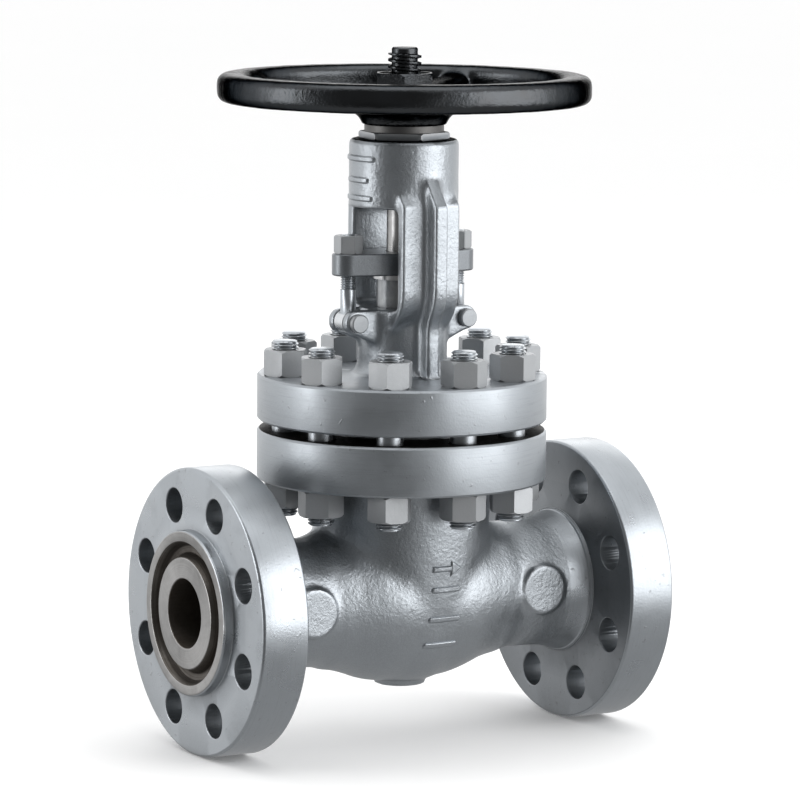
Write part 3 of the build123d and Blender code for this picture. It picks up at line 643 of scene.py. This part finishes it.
def make_wheel_skin():
    """Handwheel with soft roots to its spokes, kept inside its CAD box."""
    mesh = voxel_copy(cad_shape("handwheel"), 1.3 * MM)
    points = read_points(mesh)
    from_stem = np.hypot(points[:, 0], points[:, 1])
    outside = np.where(from_stem < WHEEL_HUB_R, 0.0, 1.0)
    soften(mesh, outside, 4, 60)
    add_lumps(mesh, outside, 0.15 * MM, 70.0)
    low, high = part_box("handwheel")
    points = read_points(mesh)
    write_points(mesh, np.clip(points, np.array(low), np.array(high)))
    return as_piece("handwheel_casting", mesh, "handwheel", "black_gloss", ["handwheel"], black)


# ---- raised marks -----------------------------------------------------------------------
BAR_HALF_TALL = 2.4 * MM


def bar(half_wide, half_tall):
    """Signed distance to a plain bar with round ends."""
    def distance(u, v):
        return math.hypot(max(abs(u) - half_wide + half_tall, 0), v) - half_tall
    return distance


def arrow(half_long, half_wide):
    """Signed distance to an arrow that points along +u."""
    def distance(u, v):
        shaft = max(abs(u + half_long * 0.35) - half_long * 0.65, abs(v) - half_wide * 0.36)
        slope = math.hypot(half_wide, half_long * 0.8)
        nose = (abs(v) * half_long * 0.8 + (u - half_long) * half_wide) / slope
        return min(shaft, max(nose, half_long * 0.2 - u))
    return distance


def raised_mark(surface, start, across, look, shape, reach, height):
    """Patch of casting that stands proud of a surface inside a flat outline."""
    step = 0.4 * MM
    blend = 1.3 * MM
    wide, tall = (int(r / step) + 3 for r in reach)
    patch = bmesh.new()
    grid = {}
    for i in range(-wide, wide + 1):
        for j in range(-tall, tall + 1):
            u = i * step
            v = j * step
            inwards = -shape(u, v)
            if inwards < -1.2 * MM:
                continue
            hit = surface.ray_cast(start + across * u + Vector((0, 0, v)), look)[0]
            if hit is None:
                continue
            rise = min(max(inwards / blend, -0.4), 1.0)
            rise = math.sin(rise * math.pi / 2) * height
            grid[i, j] = patch.verts.new(hit - look * rise)
    for i, j in list(grid):
        corners = [(i, j), (i + 1, j), (i + 1, j + 1), (i, j + 1)]
        if all(corner in grid for corner in corners):
            patch.faces.new([grid[corner] for corner in corners])
    bmesh.ops.recalc_face_normals(patch, faces=patch.faces)
    for face in patch.faces:
        if face.normal.dot(look) > 0:
            face.normal_flip()
    return patch


def surface_of(piece):
    shape = bmesh.new()
    shape.from_mesh(piece.data)
    return BVHTree.FromBMesh(shape)


def raised_bars(surface, look, across, start, rows, height):
    """One blank bar for each (height above the pipe axis, half width) in rows, in millimetres."""
    patches = []
    for row_z, half_wide in rows:
        place = start + Vector((0, 0, AXIS_Z + row_z * MM))
        patches.append(raised_mark(surface, place, across, look, bar(half_wide * MM, BAR_HALF_TALL),
                                   (half_wide * MM, BAR_HALF_TALL), height))
    return patches


def make_body_marks(body_skin):
    """Flow arrow and three blank bars on both sides of the body."""
    surface = surface_of(body_skin)
    rows = [(12.5, 13.0), (-10.5, 14.0), (-31.0, 15.0)]
    patches = []
    for front in (-1, 1):
        look = Vector((0, -front, 0))
        start = Vector((2.7 * MM, front * 0.2, 0))
        patches += raised_bars(surface, look, Vector((1, 0, 0)), start, rows, 1.6 * MM)
        patches.append(raised_mark(surface, start + Vector((0, 0, AXIS_Z + 28.5 * MM)),
                                   Vector((1, 0, 0)), look, arrow(13 * MM, 6.5 * MM),
                                   (13 * MM, 6.5 * MM), 1.5 * MM))
    as_piece("body_marks", merged(patches), "valve_body", "silver_paint", None, cast_enamel)


def make_head_marks(yoke_skin):
    """Three blank bars on the inlet side of the yoke head."""
    rows = [(333.0, 20.0), (317.0, 14.5), (303.5, 18.0)]
    patches = raised_bars(surface_of(yoke_skin), Vector((1, 0, 0)), Vector((0, -1, 0)),
                          Vector((-0.2, 0, 0)), rows, 1.4 * MM)
    as_piece("yoke_marks", merged(patches), "valve_body", "silver_paint", None, cast_enamel)


# ---- screws -----------------------------------------------------------------------------
def threaded_rod(centre, low, high, radius, depth, pitch, crest=0.14, root=0.22, hand=1,
                 bare_tip=0.0, segments=28, rows_per_turn=9):
    """Rod with a real helical thread and chamfered ends.

    crest and root are the shares of the pitch that lie flat. hand is -1 for a left-handed
    thread. bare_tip is how much of the top end has no thread.
    """
    rod = bmesh.new()
    core = radius - depth
    span = high - low
    rows = int(span / pitch * rows_per_turn)
    rings = []
    for i in range(rows + 1):
        z = low + span * i / rows
        to_end = min(z - low, high - z)
        ring = []
        for j in range(segments):
            turn = j / segments
            phase = (z / pitch - hand * turn) % 1.0
            hollow = (abs(2 * phase - 1) - crest) / (1 - crest - root)
            r = radius - depth * min(max(hollow, 0.0), 1.0)
            r = min(r, core - 0.4 * MM + to_end * 1.2)
            if high - z < bare_tip:
                r = min(core, core - 0.9 * MM + (high - z))
            angle = 2 * math.pi * turn
            ring.append(rod.verts.new((centre[0] + r * math.cos(angle),
                                       centre[1] + r * math.sin(angle), z)))
        rings.append(ring)
    for lower, upper in zip(rings, rings[1:]):
        for j in range(segments):
            k = (j + 1) % segments
            rod.faces.new((lower[j], lower[k], upper[k], upper[j]))
    rod.faces.new(list(reversed(rings[0])))
    rod.faces.new(rings[-1])
    return rod


def make_studs():
    """Studs with screws at both ends and a plain painted middle that shows in the joint's gap."""
    low_cut = AXIS_Z + 112 * MM
    high_cut = AXIS_Z + 150 * MM
    plain = keep_side(cad_shape("bonnet_studs"), (0, 0, low_cut), (0, 0, 1))
    keep_side(plain, (0, 0, high_cut), (0, 0, -1))
    rods = [plain]
    for i in range(STUD_COUNT):
        angle = math.radians(360 * i / STUD_COUNT - 90)
        centre = (STUD_CIRCLE_R * math.cos(angle), STUD_CIRCLE_R * math.sin(angle))
        for low, high in ((STUD_LOW, low_cut), (high_cut, STUD_HIGH)):
            rods.append(threaded_rod(centre, low, high, STUD_R, 1.5 * MM, 2.5 * MM))
    as_piece("threaded_studs", merged(rods), "valve_body", "stud_paint", ["bonnet_studs"],
             stud_enamel)


def make_eyebolts():
    thread_start = AXIS_Z + 235 * MM
    for side in ("inlet", "outlet"):
        name = f"{side}_side_eyebolt"
        low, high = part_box(name)
        lower = keep_side(cad_shape(name), (0, 0, thread_start), (0, 0, -1))
        centre = ((low.x + high.x) / 2, 0)
        rod = threaded_rod(centre, thread_start - 1 * MM, high.z, 5.9 * MM, 0.95 * MM, 1.75 * MM,
                           segments=24)
        as_piece(f"{name}_threaded", merged([lower, rod]), "valve_body", "gland_hardware", [name],
                 stud_enamel)


def make_stem():
    """Stem with its left-handed trapezoidal screw.

    The screw starts far enough down for its first turn to stay in the sleeve when the stem rises.
    """
    cut = WHEEL_NUT_BOTTOM - 20 * MM
    shank = keep_side(cad_shape("stem"), (0, 0, cut), (0, 0, -1))
    screw = threaded_rod((0, 0), cut - 1 * MM, STEM_TOP, STEM_R, 2.75 * MM, 5.08 * MM, 0.34, 0.40, -1,
                         4.2 * MM, 48, 16)
    as_piece("stem_shank", merged([shank]), "stem", "stem_steel", ["stem"], stem_steel)
    as_piece("stem_screw", merged([screw]), "stem", "stem_steel", ["stem"], black_screw)


def make_packing():
    """Packing rings, on a mesh of their own. Real packing shortens as the gland is taken up."""
    packing = as_piece("packing", merged([cad_shape("packing_rings")]), "valve_body", "graphite",
                       ["packing_rings"], graphite)
    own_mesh(packing)


# ---- finishes on the CAD nodes ----------------------------------------------------------
BONNET_NUTS = ("bonnet_nuts_upper", "bonnet_nuts_lower")


def finish_cad_nodes():
    """Every CAD node gets the finish of its slot. Nuts, cap and gland flange get rounded edges."""
    for name, node in nodes.items():
        node.data.materials.clear()
        node.data.materials.append(FINISHES[SLOTS[name]])
    # The cap gets the darker enamel that paints the handwheel's shade on it.
    cap_mesh = nodes["yoke_cap"].data
    cap_mesh.materials.clear()
    cap_mesh.materials.append(cap_shaded_enamel)
    cap_mesh.materials.append(near_black_top)
    # The cap's upward faces are near-black.
    for face in cap_mesh.polygons:
        face.material_index = 1 if face.normal.z > 0.9 else 0
    # The washer gets the dark steel that paints the shade under the hub.
    nodes["wheel_washer"].data.materials.clear()
    nodes["wheel_washer"].data.materials.append(washer_painted_shade)
    for name in BONNET_NUTS + ("inlet_side_gland_nut", "outlet_side_gland_nut", "yoke_cap",
                               "wheel_nut", "gland_flange"):
        break_edges(nodes[name], NUT_ROUND if name in BONNET_NUTS else EDGE_ROUND, 25)


# ---- room, light and camera -------------------------------------------------------------
CAMERA_AZIMUTH = -30.564
CAMERA_ELEVATION = 7.593
CAMERA_ROLL = 0.49
CAMERA_DISTANCE = 3.464
CAMERA_TARGET = Vector((-0.0012, 0.0007, 0.2563))
CAMERA_LENS = 206.0
ROOM_STRENGTH = 1.15
BELOW_STRENGTH = 0.40
FLAG_STRENGTH = 0.16
FLAG_TURN = -18.0
FLAG_OUTER = 0.45
FLAG_INNER = 0.85


def make_camera():
    azimuth = math.radians(CAMERA_AZIMUTH)
    elevation = math.radians(CAMERA_ELEVATION)
    back = Vector((math.sin(azimuth) * math.cos(elevation),
                   -math.cos(azimuth) * math.cos(elevation), math.sin(elevation)))
    right = Vector((0, 0, 1)).cross(back).normalized()
    up = back.cross(right)
    turn = math.radians(CAMERA_ROLL)
    rolled_right = right * math.cos(turn) + up * math.sin(turn)
    rolled_up = up * math.cos(turn) - right * math.sin(turn)
    camera = bpy.data.objects.new("camera", bpy.data.cameras.new("camera"))
    bpy.context.scene.collection.objects.link(camera)
    place = CAMERA_TARGET + back * CAMERA_DISTANCE
    matrix = Matrix((rolled_right, rolled_up, back)).transposed().to_4x4()
    matrix.translation = place
    camera.matrix_world = matrix
    camera.data.lens = CAMERA_LENS
    camera.data.clip_end = 200.0
    bpy.context.scene.camera = camera


def softbox(name, turn, distance, height, width, tall, power):
    """Rectangular light facing the stem, turned from the camera's side, positive to its right."""
    angle = math.radians(CAMERA_AZIMUTH + turn)
    place = Vector((math.sin(angle) * distance, -math.cos(angle) * distance, height))
    light = bpy.data.objects.new(name, bpy.data.lights.new(name, "AREA"))
    light.data.shape = "RECTANGLE"
    light.data.size = width
    light.data.size_y = tall
    light.data.energy = power
    light.location = place
    aim = Vector((0, 0, 0.28)) - place
    light.rotation_euler = aim.to_track_quat("-Z", "Y").to_euler()
    bpy.context.scene.collection.objects.link(light)


def smooth_step(tree, value, low, high, to_low, to_high):
    """Number that eases between two values as another one crosses a range."""
    step = tree.nodes.new("ShaderNodeMapRange")
    step.interpolation_type = "SMOOTHSTEP"
    step.inputs["From Min"].default_value = low
    step.inputs["From Max"].default_value = high
    step.inputs["To Min"].default_value = to_low
    step.inputs["To Max"].default_value = to_high
    tree.links.new(value, step.inputs["Value"])
    return step.outputs["Result"]


def make_room():
    """Bright even room with one dark flag, a pale floor and four soft lights."""
    world = bpy.data.worlds.new("studio")
    bpy.context.scene.world = world
    world.use_nodes = True
    tree = world.node_tree
    tree.nodes.clear()
    output = tree.nodes.new("ShaderNodeOutputWorld")
    background = tree.nodes.new("ShaderNodeBackground")
    coords = tree.nodes.new("ShaderNodeTexCoord")
    facing = tree.nodes.new("ShaderNodeVectorMath")
    facing.operation = "DOT_PRODUCT"
    flag = math.radians(CAMERA_AZIMUTH + FLAG_TURN)
    facing.inputs[1].default_value = (math.sin(flag) * 0.97, -math.cos(flag) * 0.97, 0.24)
    tree.links.new(coords.outputs["Generated"], facing.inputs[0])
    shade = smooth_step(tree, facing.outputs["Value"], FLAG_OUTER, FLAG_INNER, ROOM_STRENGTH,
                        FLAG_STRENGTH)
    height = tree.nodes.new("ShaderNodeSeparateXYZ")
    tree.links.new(coords.outputs["Generated"], height.inputs[0])
    above = smooth_step(tree, height.outputs["Z"], -0.45, -0.05, BELOW_STRENGTH, 1.0)
    product = tree.nodes.new("ShaderNodeMath")
    product.operation = "MULTIPLY"
    tree.links.new(shade, product.inputs[0])
    tree.links.new(above, product.inputs[1])
    tree.links.new(product.outputs[0], background.inputs["Strength"])
    background.inputs["Color"].default_value = (1.0, 1.0, 1.0, 1.0)
    tree.links.new(background.outputs[0], output.inputs["Surface"])

    mesh = bpy.data.meshes.new("floor")
    reach = 40.0
    corners = [(-reach, -reach, 0), (reach, -reach, 0), (reach, reach, 0), (-reach, reach, 0)]
    mesh.from_pydata(corners, [], [(0, 1, 2, 3)])
    floor = bpy.data.objects.new("floor", mesh)
    bpy.context.scene.collection.objects.link(floor)
    s = Shader("pale_floor")
    s.set(Base_Color=s.mix(s.noise(2.0, 3.0), grey(0.95), grey(0.97)), Roughness=0.75)
    s.set(Specular_IOR_Level=0.2, Emission_Color=(1.0, 1.0, 1.0, 1.0), Emission_Strength=0.06)
    floor.data.materials.append(s.material)
    floor.visible_glossy = False

    softbox("left_softbox", -78, 2.4, 0.65, 0.9, 1.9, 15.5)
    softbox("right_softbox", 66, 2.2, 0.75, 2.2, 1.9, 33)
    softbox("back_softbox", 172, 2.6, 1.3, 2.4, 1.2, 8)
    top = bpy.data.objects.new("top_softbox", bpy.data.lights.new("top_softbox", "AREA"))
    top.data.size = 1.8
    top.data.energy = 8
    top.location = (0, 0, 2.2)
    bpy.context.scene.collection.objects.link(top)
    bpy.context.scene.view_settings.view_transform = "Standard"


finish_cad_nodes()
body_skin = make_body_skin()
make_pipe_flanges()
make_joint_flanges()
yoke_skin = make_yoke_skin()
make_wheel_skin()
make_body_marks(body_skin)
make_head_marks(yoke_skin)
make_studs()
make_eyebolts()
make_stem()
make_packing()
make_camera()
make_room()
